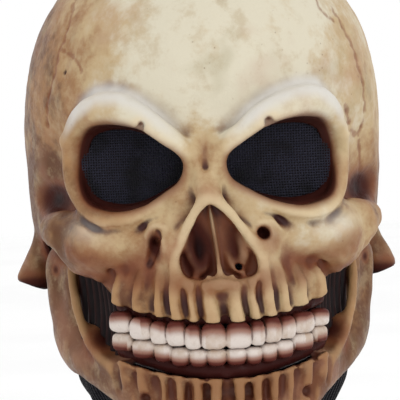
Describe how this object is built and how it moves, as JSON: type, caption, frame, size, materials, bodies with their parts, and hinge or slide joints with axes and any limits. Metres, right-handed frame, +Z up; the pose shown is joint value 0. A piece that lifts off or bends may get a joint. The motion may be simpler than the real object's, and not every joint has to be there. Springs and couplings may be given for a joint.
{
  "type": "full-head latex skull mask",
  "caption": "Full-head latex skull mask with a hinged lower jaw, separate tooth strips, see-through mesh in the eye sockets, foam fitting pads and a black knitted neck hood.",
  "frame": {"origin": "centre of the hood's hem, on the surface that the mask stands on", "axes": "+Z up to the crown, the face looks along -Y, +X to the mask's own left"},
  "size_m": [0.2146, 0.2445, 0.3449],
  "materials": {
    "bone_latex": "semi-gloss paint, cream rubbed over dark red-brown in the hollows",
    "tooth_latex": "semi-gloss off-white, brown at the gum",
    "eye_mesh": "matte black open weave",
    "hood_knit": "matte black rib knit",
    "cheek_stretch": "latex-painted stretch cloth, dark red-brown to black",
    "foam": "matte open-cell foam with a cloth face",
    "stud_steel": "dull nickel plate"
  },
  "bodies": {
    "skull": {"skull_shell": "bone_latex", "upper_teeth": "tooth_latex", "nose_mesh": "eye_mesh", "neck_hood": "hood_knit", "hood_hem": "hood_knit", "throat_gusset": "hood_knit", "crown_pad": "foam", "forehead_pad": "foam", "nape_pad": "foam", "eye_mesh_left": "eye_mesh", "eye_mesh_right": "eye_mesh", "cheek_gusset_left": "cheek_stretch", "cheek_gusset_right": "cheek_stretch", "temple_pad_left": "foam", "temple_pad_right": "foam", "hinge_tab_left": "hood_knit", "hinge_tab_right": "hood_knit", "hinge_stud_left": "stud_steel", "hinge_stud_right": "stud_steel", "stud_socket_left": "stud_steel", "stud_socket_right": "stud_steel"},
    "jaw": {"jaw_shell": "bone_latex", "lower_teeth": "tooth_latex", "chin_cup": "foam"}
  },
  "joints": [
    {"name": "jaw_hinge", "type": "hinge", "parent": "skull", "child": "jaw", "pos_m": [0, -0.012, 0.18], "axis": [1, 0, 0], "range_deg": [0, 10], "stiffness_Nm_per_rad": 0.35, "springref_deg": -28.65, "deforming": ["cheek_gusset_left", "cheek_gusset_right", "throat_gusset"]}
  ]
}
